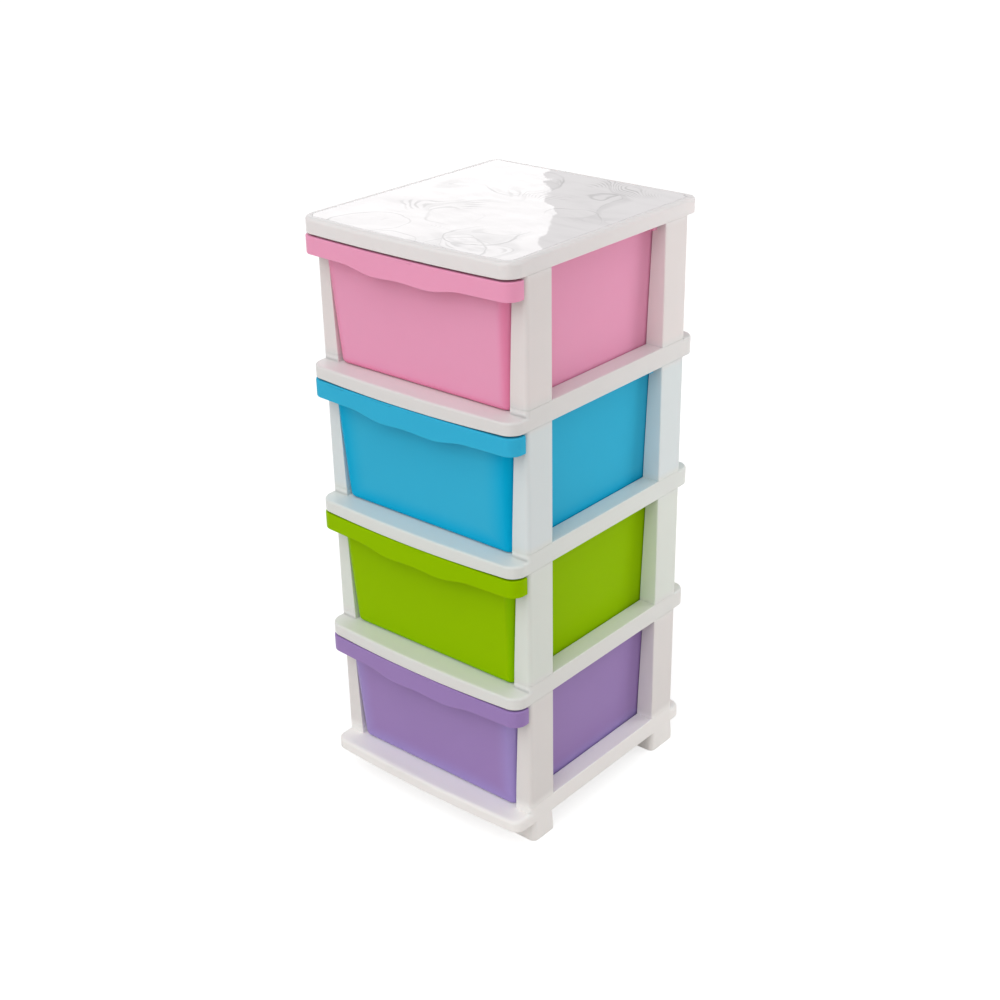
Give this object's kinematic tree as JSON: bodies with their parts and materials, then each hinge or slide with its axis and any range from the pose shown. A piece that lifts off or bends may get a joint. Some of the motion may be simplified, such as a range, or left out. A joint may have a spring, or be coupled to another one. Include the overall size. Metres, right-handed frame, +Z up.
{
  "type": "plastic drawer tower",
  "caption": "Tall plastic storage tower: white trays on corner posts, colourful sliding drawers with wavy handle lips, and a marble-look top on short feet.",
  "frame": {"origin": "on the floor, under the middle of the tower's whole width and depth", "axes": "+Z up, the drawers open towards -Y, +X is the viewer's right when facing the front"},
  "size_m": [0.35, 0.3976, 0.8337],
  "materials": {
    "frame_white": "satin white",
    "sheet_marble": "glossy film with soft grey veins",
    "drawer_pink": "satin",
    "drawer_blue": "satin",
    "drawer_green": "satin",
    "drawer_purple": "satin"
  },
  "bodies": {
    "tower": {"base_frame": "frame_white", "shelf_frame_1": "frame_white", "shelf_frame_2": "frame_white", "shelf_frame_3": "frame_white", "top_panel": "frame_white", "top_sheet": "sheet_marble", "post_1_front_left": "frame_white", "post_1_front_right": "frame_white", "post_1_rear_left": "frame_white", "post_1_rear_right": "frame_white", "post_2_front_left": "frame_white", "post_2_front_right": "frame_white", "post_2_rear_left": "frame_white", "post_2_rear_right": "frame_white", "post_3_front_left": "frame_white", "post_3_front_right": "frame_white", "post_3_rear_left": "frame_white", "post_3_rear_right": "frame_white", "post_4_front_left": "frame_white", "post_4_front_right": "frame_white", "post_4_rear_left": "frame_white", "post_4_rear_right": "frame_white"},
    "drawer_body_1": {"drawer_1": "drawer_purple"},
    "drawer_body_2": {"drawer_2": "drawer_green"},
    "drawer_body_3": {"drawer_3": "drawer_blue"},
    "drawer_body_4": {"drawer_4": "drawer_pink"}
  },
  "joints": [
    {"name": "drawer_1_slide", "type": "slide", "parent": "tower", "child": "drawer_body_1", "axis": [0, -1, 0], "range_m": [0, 0.2235]},
    {"name": "drawer_2_slide", "type": "slide", "parent": "tower", "child": "drawer_body_2", "axis": [0, -1, 0], "range_m": [0, 0.2235]},
    {"name": "drawer_3_slide", "type": "slide", "parent": "tower", "child": "drawer_body_3", "axis": [0, -1, 0], "range_m": [0, 0.2235]},
    {"name": "drawer_4_slide", "type": "slide", "parent": "tower", "child": "drawer_body_4", "axis": [0, -1, 0], "range_m": [0, 0.2235]}
  ]
}
